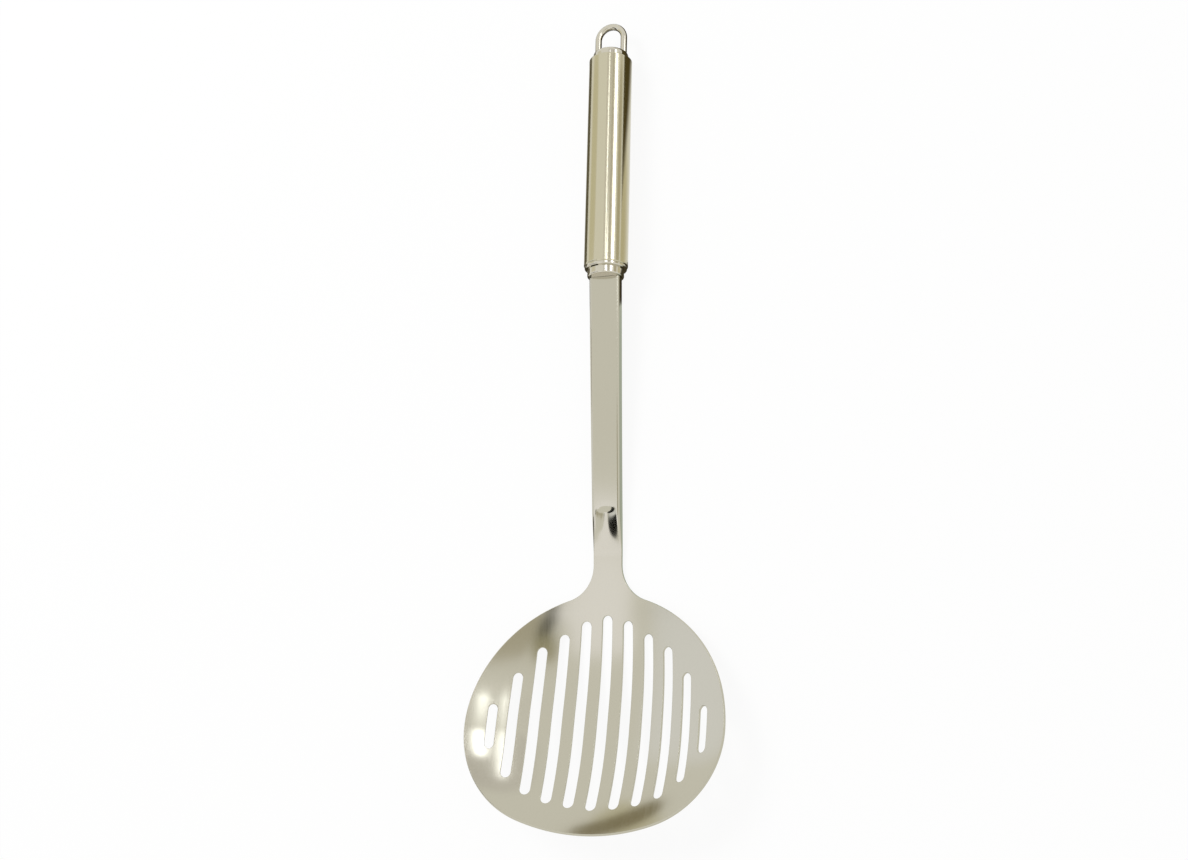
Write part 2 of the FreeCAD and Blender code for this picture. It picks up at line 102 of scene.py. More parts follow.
def linear(code):
    """sRGB hex code to linear red, green, blue and alpha."""
    values = [int(code[place:place + 2], 16) / 255 for place in (1, 3, 5)]
    return [v / 12.92 if v <= 0.04045 else ((v + 0.055) / 1.055) ** 2.4 for v in values] + [1.0]


def colour(name, code, description):
    return bpy.props.FloatVectorProperty(
        name=name, description=description, default=linear(code), min=0, max=1,
        size=4, subtype="COLOR",
    )


class SheetSizes(bpy.types.PropertyGroup):
    thickness: length("Thickness", 1.2, "Stamped sheet")
    bowl_width: length("Bowl width", 114.4, "Side to side")
    tip_reach: length("Tip reach", 43.7, "Lowest point to the tip's edge, in plan")
    side_radius: length("Side radius", 41, "Outline beside the tip")
    shoulder_radius: length("Shoulder radius", 60.3, "Outline beside the neck")
    fillet_radius: length("Neck fillet", 16, "Outline where bowl and neck meet")
    cross_radius: length("Cross radius", 120, "Bowl's curve from side to side")
    tip_radius: length("Tip curve", 88, "Bowl's curve towards the tip")
    flat_length: length("Flat length", 12, "Straight middle of the bowl's length")
    neck_radius: length("Neck curve", 160, "Bowl's curve towards the neck")
    neck_rise: angle("Neck rise", 14.2, "Slope of the neck above the bowl")
    slot_pitch: length("Slot pitch", 10.19, "Centre to centre in the flat blank")
    slot_width: length("Slot width", 4.8, "In the flat blank")
    slot_draw_in: share("Draw-in", 0.1, "Share by which pressing draws the blank's edge inwards")
    blank_reach: length("Blank reach", 58, "Lowest point to the flat blank's edge")
    cut_edge: length("Cut edge", 0.22, "Rounding of the tumbled edges")
    neck_width: length("Neck width", 13.1, "Neck and lower end of the shank")
    neck_length: length("Neck length", 25, "Straight neck above the bowl's curve")
    step_run: length("Step run", 18, "Step from the neck up to the shank, along the bowl")
    step_rise: length("Step rise", 8.02, "The same step, off the bowl")
    hollow_depth: length("Hollow depth", 1.05, "Hollow pressed into the step")
    hollow_start: length("Hollow's lower end", 3.6, "Along the step from its lower end")
    hollow_fade: length("Hollow's run-in", 13.5, "Over which the hollow reaches its depth")
    hollow_end: length("Hollow's upper end", 20.9, "Along the step from its lower end")
    hollow_wall: length("Hollow's end wall", 3.6, "Over which the hollow comes up again")
    shank_width: length("Shank width", 14.4, "At the handle")
    shank_rise: angle("Shank rise", 17.06, "Slope of the shank's lower end above the bowl")
    shank_length: length("Shank length", 106, "Step to the collar")
    arch_radius: length("Shank arch", 4000, "Slight outward arch")
    channel_depth: length("Channel depth", 4.2, "Folded edges, with the sheet's thickness")
    fold_radius: length("Fold radius", 1.3, "Outside of the fold")
    tang_length: length("Tang length", 47, "Channel inside the collar and tube")
    handle_angle: angle("Handle angle", 11.1, "Slope of the handle above the bowl")
    mesh_step: length("Mesh step", 1.5, "Distance between the points of the dished sheet")


class HandleSizes(bpy.types.PropertyGroup):
    shank_offset: length("Shank offset", 2.4, "Handle's axis to the shank's face")
    tube_diameter: length("Tube diameter", 20, "Outside")
    tube_wall: length("Tube wall", 1, "Handle tube")
    tube_length: length("Tube length", 102, "Handle tube")
    rim_radius: length("Rim radius", 0.5, "Rounded rims of the tube")
    plug_clearance: length("Plug clearance", 0.05, "Collar and cap in the tube, on the radius")
    plug_length: length("Plug length", 8, "Collar and cap inside the tube")
    band_diameter: length("Band diameter", 19.2, "Collar's wide band")
    band_length: length("Band length", 1.4, "Collar's wide band")
    ring_diameter: length("Ring diameter", 16.6, "Collar's narrow ring")
    ring_length: length("Ring length", 3.6, "Collar's narrow ring")
    collar_radius: length("Collar rounding", 0.6, "Edges of the collar")
    shank_clearance: length("Shank clearance", 0.1, "Shank in the collar's opening")
    head_diameter: length("Head diameter", 16.4, "Cap's head")
    head_height: length("Head height", 4, "Cap's head")
    head_radius: length("Head rounding", 1.6, "Edge of the cap's head")
    wire_diameter: length("Wire diameter", 3, "Hanging loop")
    leg_spacing: length("Leg spacing", 12.5, "Hanging loop, wire centre to centre")
    loop_rise: length("Loop rise", 15.4, "Hanging loop above the cap")
    socket_depth: length("Socket depth", 8, "Hanging loop in the cap")
    socket_clearance: length("Socket clearance", 0.05, "Around the wire, on the radius")


class FinishColours(bpy.types.PropertyGroup):
    sheet: colour("Sheet", "#BEBAA8", "Polished stainless sheet")
    tube: colour("Tube", "#C6C0A6", "Lathe-brushed stainless tube")
    fittings: colour("Fittings", "#CCC7B6", "Mirror-polished collar, cap and loop")
    floor: colour("Floor", "#F4F4F3", "Matt paper floor")


class StudioSettings(bpy.types.PropertyGroup):
    camera_place: bpy.props.FloatVectorProperty(
        name="Camera place", description="Worked out from the photograph",
        default=(0.20149713, -0.14954345, 0.58679615), subtype="XYZ", unit="LENGTH", precision=5,
    )
    camera_turn: bpy.props.FloatVectorProperty(
        name="Camera turn", description="Worked out from the photograph",
        default=[math.radians(turn) for turn in (13.046873, 19.430948, 1.153604)],
        subtype="EULER", unit="ROTATION",
    )
    lens: bpy.props.FloatProperty(
        name="Lens", description="Focal length for a sensor 36 mm wide", default=42.9855,
        unit="CAMERA",
    )
    world_light: bpy.props.FloatProperty(
        name="Room light", description="Strength of the even light from all round",
        default=0.75, min=0,
    )
    floor_side: length("Floor side", 6000, "Square paper floor")
    floor_white: share("White floor", 0.9, "Share of the floor that is seen without its shadow")
    lamp_place: bpy.props.FloatVectorProperty(
        name="Lamp place", description="Behind the handle, to the left", default=(-0.9, 0.7, 1.6),
        subtype="XYZ", unit="LENGTH",
    )
    lamp_size: length("Lamp size", 800, "Side of the soft lamp")
    lamp_power: bpy.props.FloatProperty(
        name="Lamp power", description="Of the soft lamp", default=14, min=0, unit="POWER"
    )


# Shape of the dished sheet, in metres about the bowl's lowest point


def dish_height(sizes, x, y, level):
    """Height of the sheet over places in plan, at a level below its upper face."""
    cross, tip, neck = sizes.cross_radius, sizes.tip_radius, sizes.neck_radius
    rise, flat = sizes.neck_rise, sizes.flat_length
    side = cross - np.sqrt((cross + level) ** 2 - x ** 2)
    at_tip = tip - np.sqrt((tip - side) ** 2 - np.minimum(y, 0) ** 2)
    curve_end = flat + (neck - side) * math.sin(rise)
    in_curve = np.clip(y, flat, curve_end)
    at_neck = neck - np.sqrt((neck - side) ** 2 - (in_curve - flat) ** 2)
    return np.select([y < 0, y < flat], [at_tip, side], at_neck + (y - in_curve) * math.tan(rise))


def dish_normals(sizes, x, y):
    """Directions off the upper face."""
    def height(shift_x, shift_y):
        return dish_height(sizes, x + shift_x, y + shift_y, sizes.thickness / 2)

    slope_x = (height(SLOPE_STEP, 0) - height(-SLOPE_STEP, 0)) / (2 * SLOPE_STEP)
    slope_y = (height(0, SLOPE_STEP) - height(0, -SLOPE_STEP)) / (2 * SLOPE_STEP)
    normals = np.stack([-slope_x, -slope_y, np.ones_like(x)], axis=1)
    return normals / np.linalg.norm(normals, axis=1, keepdims=True)


def dish_points(sizes, plan, above):
    """Points of the sheet at a distance above its middle surface."""
    x, y = plan[:, 0], plan[:, 1]
    middle = np.stack([x, y, dish_height(sizes, x, y, sizes.thickness / 2)], axis=1)
    return middle + dish_normals(sizes, x, y) * above


def neck_station(sizes, distance):
    """Place on the straight neck, seen from the side: y, z and slope."""
    rise, neck = sizes.neck_rise, sizes.neck_radius
    y = sizes.flat_length + neck * math.sin(rise) + distance * math.cos(rise)
    return y, neck * (1 - math.cos(rise)) + distance * math.sin(rise), rise


def step_station(sizes, part):
    """Place on the step, which leaves the neck and meets the shank without a kink."""
    run, climb = sizes.step_run, sizes.step_rise
    y, z, _ = neck_station(sizes, sizes.neck_length)
    start, end = run * math.tan(sizes.neck_rise), run * math.tan(sizes.shank_rise)
    bend, curl = 3 * climb - 2 * start - end, start + end - 2 * climb
    slope = math.atan((start + 2 * bend * part + 3 * curl * part ** 2) / run)
    return y + run * part, z + start * part + bend * part ** 2 + curl * part ** 3, slope


def shank_station(sizes, distance):
    """Place on the slightly arched shank, past the step."""
    rise, arch = sizes.shank_rise, sizes.arch_radius
    y, z, _ = step_station(sizes, 1)
    slope = rise - distance / arch
    y += arch * (math.sin(rise) - math.sin(slope))
    z += arch * (math.cos(slope) - math.cos(rise))
    return y, z, slope


def arc_points(centre, radius, start, end, step):
    """Places along an arc in plan, without its end."""
    count = max(6, math.ceil(abs(end - start) * radius / step))
    turns = np.linspace(start, end, count, endpoint=False)
    x, y = centre[0] + radius * np.cos(turns), centre[1] + radius * np.sin(turns)
    return np.stack([x, y], axis=1)


def outline_points(sizes, step):
    """The outline from the neck's right corner, down round the tip and up to its left corner."""
    half, reach, side = sizes.bowl_width / 2, sizes.tip_reach, sizes.side_radius
    shoulder, fillet, neck = sizes.shoulder_radius, sizes.fillet_radius, sizes.neck_width / 2
    side_x, shoulder_x, fillet_x = half - side, half - shoulder, neck + fillet
    tip = (side_x ** 2 + reach ** 2 - side ** 2) / (2 * (reach - side))
    tip_y = tip - reach
    fillet_y = math.sqrt((shoulder + fillet) ** 2 - (fillet_x - shoulder_x) ** 2)
    tip_join = math.atan2(-tip_y, side_x)
    shoulder_join = math.atan2(fillet_y, fillet_x - shoulder_x)
    y, _, slope = neck_station(sizes, sizes.neck_length)
    corner = math.asin(neck / (sizes.cross_radius + sizes.thickness / 2))
    sag = sizes.cross_radius - (sizes.cross_radius + sizes.thickness / 2) * math.cos(corner)
    end = y - sag * math.sin(slope)
    straight = np.arange(fillet_y, end - step / 3, step)
    right = np.concatenate([
        arc_points((0, tip_y), tip, -math.pi / 2, tip_join, step),
        arc_points((side_x, 0), side, tip_join, 0, step),
        arc_points((shoulder_x, 0), shoulder, 0, shoulder_join, step),
        arc_points((fillet_x, fillet_y), fillet, shoulder_join + math.pi, math.pi, step),
        np.stack([np.full(len(straight), neck), straight], axis=1),
        [[neck, end]],
    ])
    left = right[:0:-1] * (-1, 1)
    return np.concatenate([left, right])


def slot_points(sizes, place, step):
    """One slot: straight in the flat blank, and drawn slightly inwards by the pressing."""
    half = sizes.slot_width / 2
    centre = place * sizes.slot_pitch
    up, down = SLOT_REACHES[abs(place)]
    high, low = up - half, half - down
    run = np.linspace(0, 1, max(4, math.ceil((high - low) / step)), endpoint=False)
    right = np.stack([np.full(len(run), centre + half), high + (low - high) * run], axis=1)
    left = np.stack([np.full(len(run), centre - half), low + (high - low) * run], axis=1)
    around = half / 4
    blank = np.concatenate([
        right, arc_points((centre, low), half, 0, -math.pi, around),
        left, arc_points((centre, high), half, math.pi, 0, around),
    ])
    squeeze = sizes.slot_draw_in * (blank ** 2).sum(axis=1) / sizes.blank_reach ** 2
    return np.stack([blank[:, 0] * (1 - squeeze), blank[:, 1]], axis=1)


def inward(loop, closed):
    """Directions in plan from a loop into the sheet, which lies on the left of its travel."""
    if closed:
        along = np.roll(loop, -1, axis=0) - np.roll(loop, 1, axis=0)
    else:
        along = np.gradient(loop, axis=0)
    across = np.stack([-along[:, 1], along[:, 0]], axis=1)
    return across / np.linalg.norm(across, axis=1, keepdims=True)


def inside(points, loops):
    """Which places lie inside the outline and outside the slots."""
    odd = np.zeros(len(points), bool)
    for loop in loops:
        for (x0, y0), (x1, y1) in zip(loop, np.roll(loop, -1, axis=0)):
            crosses = (y0 > points[:, 1]) != (y1 > points[:, 1])
            if crosses.any():
                at = x0 + (points[crosses, 1] - y0) * (x1 - x0) / (y1 - y0)
                odd[crosses] ^= points[crosses, 0] < at
    return odd


def edge_profile(sizes):
    """Rounded cut edge: distances into the sheet and depths below its upper face."""
    radius, thickness = sizes.cut_edge, sizes.thickness
    turns = np.linspace(0, math.pi / 2, EDGE_POINTS)
    upper = [(radius * (1 - math.sin(turn)), radius * (1 - math.cos(turn))) for turn in turns]
    return upper + [(back, thickness - deep) for back, deep in reversed(upper)]


def face_turns(sizes, half_width):
    """Angles across the dished section, from one side to the other."""
    limit = math.asin(half_width / sizes.cross_radius)
    return np.linspace(-limit, limit, FACE_POINTS)


def neck_end_row(sizes):
    """Places in plan where the flat neck ends, from right to left."""
    y, _, slope = neck_station(sizes, sizes.neck_length)
    middle = sizes.cross_radius + sizes.thickness / 2
    turns = face_turns(sizes, sizes.neck_width / 2 - sizes.cut_edge)[::-1]
    sag = sizes.cross_radius - middle * np.cos(turns)
    return np.stack([middle * np.sin(turns), y - sag * math.sin(slope)], axis=1)


def bowl_part(sizes, add_points, add_face):
    """The dished and slotted part of the sheet, up to the end of the flat neck."""
    step = sizes.mesh_step
    edge_step, edge_gap = 0.7 * step, 0.6 * step
    outline = outline_points(sizes, edge_step)
    loops = [(outline, False)]
    for place in range(1 - len(SLOT_REACHES), len(SLOT_REACHES)):
        loops.append((slot_points(sizes, place, edge_step), True))
    profile = edge_profile(sizes)
    shrunk = []
    for loop, closed in loops:
        shrunk.append(loop + inward(loop, closed) * profile[0][0])
    end_row = neck_end_row(sizes)
    border = np.concatenate([shrunk[0], end_row[1:-1]])
    rings = [border] + shrunk[1:]

    half, reach = sizes.bowl_width / 2, outline[:, 1].max()
    columns = np.arange(-half, half, step)
    lines = np.arange(-sizes.tip_reach, reach, step * math.sqrt(3) / 2)
    # Every second line of points is shifted by half a step, for even triangles
    grid = np.array([(x + (n % 2) * step / 2, y) for n, y in enumerate(lines) for x in columns])
    grid = grid[inside(grid, rings)]
    edge_places = np.concatenate(rings)
    near = np.array([((edge_places - place) ** 2).sum(axis=1).min() for place in grid])
    grid = grid[near > edge_gap ** 2]

    edges, start = [], 0
    for ring in rings:
        count = len(ring)
        edges += [(start + n, start + (n + 1) % count) for n in range(count)]
        start += count
    places = np.concatenate([edge_places, grid])
    in_millimetres = [Vector(place * 1000) for place in places]
    found, _, triangles, origins, _, _ = delaunay_2d_cdt(in_millimetres, edges, [], 0, 1e-6)
    if len(found) != len(places):
        raise RuntimeError("the sheet's outline crosses itself")
    renumber = [came_from[0] for came_from in origins]
    faces = np.array([[renumber[n] for n in face] for face in triangles])
    faces = faces[inside(places[faces].mean(axis=1), rings)]
    corner = places[faces[:, 0]]
    first, second = places[faces[:, 1]] - corner, places[faces[:, 2]] - corner
    clockwise = first[:, 0] * second[:, 1] < first[:, 1] * second[:, 0]
    faces[clockwise] = faces[clockwise][:, ::-1]

    middle = sizes.thickness / 2
    upper = add_points(dish_points(sizes, places, middle))
    lower = add_points(dish_points(sizes, places, -middle))
    for face in faces:
        add_face([upper[n] for n in face])
        add_face([lower[n] for n in reversed(face)])

    start = 0
    for (loop, closed), ring in zip(loops, rings):
        count = len(loop)
        rows = [[upper[start + n] for n in range(count)]]
        across = inward(loop, closed)
        for back, deep in profile[1:-1]:
            rows.append(add_points(dish_points(sizes, loop + across * back, middle - deep)))
        rows.append([lower[start + n] for n in range(count)])
        for above, below in zip(rows, rows[1:]):
            for n in range(count if closed else count - 1):
                after = (n + 1) % count
                add_face([above[after], above[n], below[n], below[after]])
        start += len(ring)


def smooth(amount):
    """0 to 1, leaving the one and meeting the other without a kink."""
    amount = min(1, max(0, amount))
    return amount * amount * (3 - 2 * amount)


def hollow_at(sizes, distance):
    """Depth of the hollow at a distance along the step and on into the shank."""
    start = smooth((distance - sizes.hollow_start) / sizes.hollow_fade)
    return sizes.hollow_depth * start * smooth((sizes.hollow_end - distance) / sizes.hollow_wall)


def channel_loop(sizes, half_width, grown, hollow):
    """Section of neck and shank: upper face, a folded edge, lower face and the other fold."""
    thickness, rounding = sizes.thickness, sizes.cut_edge
    fold = rounding + (sizes.fold_radius - rounding) * grown
    inner_fold = max(fold - thickness, fold / 3) * grown + MERGE_DISTANCE
    cross = sizes.cross_radius
    limit = half_width - fold
    turns = face_turns(sizes, limit)
    dip = hollow * (1 - (turns / turns[-1]) ** 2) ** 2
    upper = np.stack([cross * np.sin(turns), cross * (1 - np.cos(turns)) - dip], axis=1)
    back_x = half_width - thickness - inner_fold
    outer = cross + thickness
    turns = face_turns(sizes, back_x * cross / outer)
    dip = hollow * (1 - (turns / turns[-1]) ** 2) ** 2
    lower = np.stack([outer * np.sin(turns), cross - outer * np.cos(turns) - dip], axis=1)
    top, back = upper[-1, 1], lower[-1, 1]
    bottom = min(back, -thickness - (sizes.channel_depth - thickness) * grown)
    side = []
    for turn in np.linspace(0, math.pi / 2, 9)[1:]:
        side.append((half_width - fold + fold * math.sin(turn), top - fold + fold * math.cos(turn)))
    wall_top, wall_foot = top - fold, bottom + rounding
    for down in (0.1, 0.9):
        side.append((half_width, wall_top + (wall_foot - wall_top) * down))
    inside_x = half_width - thickness
    lift = min(rounding, max(0, back - inner_fold - bottom))
    turns = np.linspace(0, math.pi / 2, EDGE_POINTS)
    for turn in turns:
        x = half_width - rounding * (1 - math.cos(turn))
        side.append((x, bottom + rounding * (1 - math.sin(turn))))
    for turn in turns:
        x = inside_x + rounding * (1 - math.sin(turn))
        side.append((x, bottom + lift * (1 - math.cos(turn))))
    for turn in np.linspace(0, math.pi / 2, 6)[:-1]:
        x = back_x + inner_fold * math.cos(turn)
        side.append((x, back - inner_fold * (1 - math.sin(turn))))
    side = np.array(side)
    return np.concatenate([upper, side, lower[::-1], side[::-1] * (-1, 1)])


def shank_part(sizes, add_points, add_face):
    """The step and the shank with their folded edges, and the tang inside the handle."""
    neck_half, shank_half = sizes.neck_width / 2, sizes.shank_width / 2
    stations = []
    for part in np.linspace(0, 1, STEP_SECTIONS):
        hollow = hollow_at(sizes, part * sizes.step_run)
        section = channel_loop(sizes, neck_half, smooth(part), hollow)
        stations.append((*step_station(sizes, part), section))
    past = sizes.hollow_end - sizes.step_run
    in_hollow = np.linspace(0, past, HOLLOW_SECTIONS)[1:]
    beyond = np.linspace(past, sizes.shank_length, SHANK_SECTIONS)[1:]
    for distance in np.concatenate([in_hollow, beyond]):
        half = neck_half + (shank_half - neck_half) * distance / sizes.shank_length
        section = channel_loop(sizes, half, 1, hollow_at(sizes, sizes.step_run + distance))
        stations.append((*shank_station(sizes, distance), section))
    y, z, _, section = stations[-1]
    stations[-1] = (y, z, sizes.handle_angle, section)
    for reach in (0.3, 1):
        run = reach * sizes.tang_length
        place = (y + run * math.cos(sizes.handle_angle), z + run * math.sin(sizes.handle_angle))
        stations.append((*place, sizes.handle_angle, section))
    rows = []
    for y, z, slope, section in stations:
        points = np.stack([
            section[:, 0], y - section[:, 1] * math.sin(slope), z + section[:, 1] * math.cos(slope),
        ], axis=1)
        rows.append(add_points(points))
    for near, far in zip(rows, rows[1:]):
        for n in range(len(near)):
            after = (n + 1) % len(near)
            add_face([near[n], near[after], far[after], far[n]])
    add_face(rows[-1])


def finished_mesh(name, points, faces):
    """Mesh object from points and faces, with doubles merged and shaded smooth."""
    mesh = bpy.data.meshes.new(name)
    mesh.from_pydata(points, [], faces)
    work = bmesh.new()
    work.from_mesh(mesh)
    bmesh.ops.remove_doubles(work, verts=work.verts, dist=MERGE_DISTANCE)
    bmesh.ops.dissolve_degenerate(work, edges=work.edges, dist=MERGE_DISTANCE / 10)
    for face in work.faces:
        face.smooth = True
    work.to_mesh(mesh)
    work.free()
    piece = bpy.data.objects.new(name, mesh)
    bpy.context.scene.collection.objects.link(piece)
    return piece


def dish_shading(piece, sizes):
    """Give the dished faces the exact directions of the pressed form, for smooth reflections."""
    mesh = piece.data
    count = len(mesh.vertices)
    places, normals = np.empty(count * 3), np.empty(count * 3)
    mesh.vertices.foreach_get("co", places)
    mesh.vertex_normals.foreach_get("vector", normals)
    normals = normals.reshape(-1, 3)
    x, y, z = places.reshape(-1, 3).T
    end, _, _ = neck_station(sizes, sizes.neck_length)
    # The last millimetre is left to the mesh, where the neck runs into the step
    within = y < end - 0.001
    for level, side in ((0, 1), (sizes.thickness, -1)):
        height = np.full(count, np.inf)
        height[within] = dish_height(sizes, x[within], y[within], level)
        on_face = np.abs(z - height) < ON_FACE
        normals[on_face] = dish_normals(sizes, x[on_face], y[on_face]) * side
    mesh.normals_split_custom_set_from_vertices(normals.tolist())


# Turned and bent pieces, in the handle's frame: z along its axis, the sheet's face towards -y


def handle_frame(sheet, handle):
    """Placement of the handle's frame, whose z = 0 is the tube's lower end."""
    y, z, _ = shank_station(sheet, sheet.shank_length)
    slope, offset = sheet.handle_angle, handle.shank_offset
    projection = handle.band_length + handle.ring_length
    y += projection * math.cos(slope) + offset * math.sin(slope)
    z += projection * math.sin(slope) - offset * math.cos(slope)
    return LAID_DOWN @ Matrix.Translation((0, y, z)) @ Matrix.Rotation(slope - math.pi / 2, 4, "X")


def rounded_corner(corner, before, after, radius):
    """Points (radius, z) of a rounded corner between two straight runs at right angles."""
    corner, before, after = Vector(corner), Vector(before), Vector(after)
    back = (before - corner).normalized() * radius
    on = (after - corner).normalized() * radius
    centre = corner + back + on
    turns = [math.pi / 2 * n / (CORNER_POINTS - 1) for n in range(CORNER_POINTS)]
    arc = [centre - on * math.cos(turn) - back * math.sin(turn) for turn in turns]
    # A point on each straight beside the arc keeps the shading of its flat
    support = radius / 3
    start = arc[0] + back.normalized() * support
    end = arc[-1] + on.normalized() * support
    return [tuple(start)] + [tuple(point) for point in arc] + [tuple(end)]


def turned_piece(name, profile, rounded):
    """A turned piece from its half section, some corners rounded: {corner number: radius}."""
    outline = []
    for n, corner in enumerate(profile):
        if n in rounded:
            before, after = profile[n - 1], profile[(n + 1) % len(profile)]
            outline += rounded_corner(corner, before, after, rounded[n])
        else:
            outline.append(corner)
    points, faces = [], []
    for n in range(TURNED_POINTS):
        turn = 2 * math.pi * n / TURNED_POINTS
        points += [(radius * math.cos(turn), radius * math.sin(turn), z) for radius, z in outline]
    count = len(outline)
    for n in range(TURNED_POINTS):
        here, there = n * count, (n + 1) % TURNED_POINTS * count
        for m in range(count):
            after = (m + 1) % count
            if outline[m][0] > 0 or outline[after][0] > 0:
                faces.append((here + m, here + after, there + after, there + m))
    return finished_mesh(name, points, faces)


def take_mesh(piece):
    """The mesh that an object's modifiers give, taken as they are removed."""
    evaluated = piece.evaluated_get(bpy.context.evaluated_depsgraph_get())
    mesh = bpy.data.meshes.new_from_object(evaluated)
    piece.modifiers.clear()
    return mesh


def cut_away(piece, cutter):
    """Cut one object's form out of a piece, and remove that object."""
    step = piece.modifiers.new("cut", "BOOLEAN")
    step.operation = "DIFFERENCE"
    step.solver = "EXACT"
    step.object = cutter
    piece.data = take_mesh(piece)
    bpy.data.objects.remove(cutter)


def keep_edges_crisp(piece):
    """Smooth shading weighted by the size of the faces, apart from the sharp edges."""
    mesh = piece.data
    for polygon in mesh.polygons:
        polygon.use_smooth = True
    mesh.set_sharp_from_angle(angle=CRISP_ANGLE)
    weights = piece.modifiers.new("weighted_shading", "WEIGHTED_NORMAL")
    weights.keep_sharp = True
    piece.data = take_mesh(piece)


def box_cutter(low, high):
    """A box between two opposite corners."""
    corners = [(x, y, z) for x in (low[0], high[0]) for y in (low[1], high[1])
               for z in (low[2], high[2])]
    faces = [(0, 1, 3, 2), (4, 6, 7, 5), (0, 4, 5, 1), (2, 3, 7, 6), (0, 2, 6, 4), (1, 5, 7, 3)]
    return finished_mesh("cutter", corners, faces)


def settle(piece, placement, node, material):
    """Place a finished piece in its mesh, give it its steel, and let it stand for its solid."""
    piece.data.transform(placement)
    piece.data.materials.clear()
    piece.data.materials.append(material)
    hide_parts(node)
    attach(piece, "root")


# Materials


def add_node(tree, kind, settings=None, links=None):
    """Add a node, set its attributes or inputs, and link inputs to other nodes' outputs."""
    node = tree.nodes.new(kind)
    for key, value in (settings or {}).items():
        if isinstance(key, str) and hasattr(node, key):
            setattr(node, key, value)
        else:
            node.inputs[key].default_value = value
    for key, output in (links or {}).items():
        tree.links.new(output, node.inputs[key])
    return node


def new_material(name):
    material = bpy.data.materials.new(name)
    material.use_nodes = True
    material.node_tree.nodes.clear()
    return material, material.node_tree


def pattern(tree, millimetres, detail):
    """Noise over the piece, from its crest to crest distances along X, Y and Z."""
    place = add_node(tree, "ShaderNodeTexCoord").outputs["Object"]
    scale = [1000 / distance for distance in millimetres]
    stretched = add_node(tree, "ShaderNodeMapping", {"Scale": scale}, {"Vector": place})
    return add_node(
        tree, "ShaderNodeTexNoise", {"Scale": 1.0, "Detail": detail},
        {"Vector": stretched.outputs[0]},
    ).outputs["Fac"]


def between(tree, amount, least, most):
    """A value that follows a pattern between two limits."""
    return add_node(
        tree, "ShaderNodeMapRange", {"To Min": least, "To Max": most}, {"Value": amount}
    ).outputs[0]


def relief(tree, height, strength, distance, normal=None):
    """Bump from a pattern, on top of another bump where one is given."""
    links = {"Height": height}
    if normal:
        links["Normal"] = normal
    return add_node(
        tree, "ShaderNodeBump", {"Strength": strength, "Distance": distance}, links
    ).outputs[0]


def bare_metal(tree, base, links):
    """The metal itself, joined to the material's output."""
    shader = add_node(
        tree, "ShaderNodeBsdfPrincipled", {"Base Color": base, "Metallic": 1.0}, links
    )
    add_node(tree, "ShaderNodeOutputMaterial", links={"Surface": shader.outputs[0]})


def polished_stainless_sheet(base):
    """Stainless sheet, buffed after pressing: a near mirror with a soft, slightly wavy face."""
    material, tree = new_material("polished_stainless_sheet")
    # Waviness left by the press, about 25 mm from crest to crest
    wave = pattern(tree, (25, 25, 25), 1.0)
    # Buffing lines along the sheet, 0.4 mm apart: finer ones wouldn't show
    buff = pattern(tree, (0.4, 16, 16), 3.0)
    dent = relief(tree, wave, 0.25, 0.0002)
    bare_metal(tree, base, {
        "Roughness": between(tree, buff, 0.10, 0.17),
        "Normal": relief(tree, buff, 0.03, 0.00001, dent),
    })
    return material


def brushed_stainless_tube(base):
    """Drawn stainless tube, brushed on a lathe: fine rings draw reflections out along the tube."""
    material, tree = new_material("brushed_stainless_tube")
    # Brush rings round the tube, 0.3 mm apart
    brush = pattern(tree, (25, 0.3, 25), 4.0)
    bare_metal(tree, base, {
        "Roughness": between(tree, brush, 0.10, 0.19),
        "Normal": relief(tree, brush, 0.12, 0.00003),
    })
    return material


def mirror_polished_steel(base):
    """Turned and bent stainless, polished to a mirror: small, sharp, dark-edged reflections."""
    material, tree = new_material("mirror_polished_steel")
    # Haze left by the polishing wheel, about 1.5 mm across
    haze = pattern(tree, (1.5, 1.5, 1.5), 2.0)
    bare_metal(tree, base, {"Roughness": between(tree, haze, 0.05, 0.10)})
    return material


def steel(maker, base):
    """A steel made once and then shared by its pieces."""
    return bpy.data.materials.get(maker.__name__) or maker(base)


# Operators, one for each group of pieces and one for the stage


class SKIMMER_OT_sheet(bpy.types.Operator):
    """Build the slotted bowl, neck, shank and tang as one sheet"""
    bl_idname = "skimmer.sheet"
    bl_label = "Slotted bowl and shank"

    def execute(self, context):
        sizes = context.scene.skimmer_sheet
        points, faces = [], []

        def add_points(places):
            start = len(points)
            points.extend(tuple(place) for place in places)
            return list(range(start, len(points)))

        bowl_part(sizes, add_points, faces.append)
        shank_part(sizes, add_points, faces.append)
        piece = finished_mesh("polished_sheet", points, faces)
        dish_shading(piece, sizes)
        material = steel(polished_stainless_sheet, context.scene.skimmer_colours.sheet)
        settle(piece, LAID_DOWN, "slotted_bowl_and_shank", material)
        return {"FINISHED"}


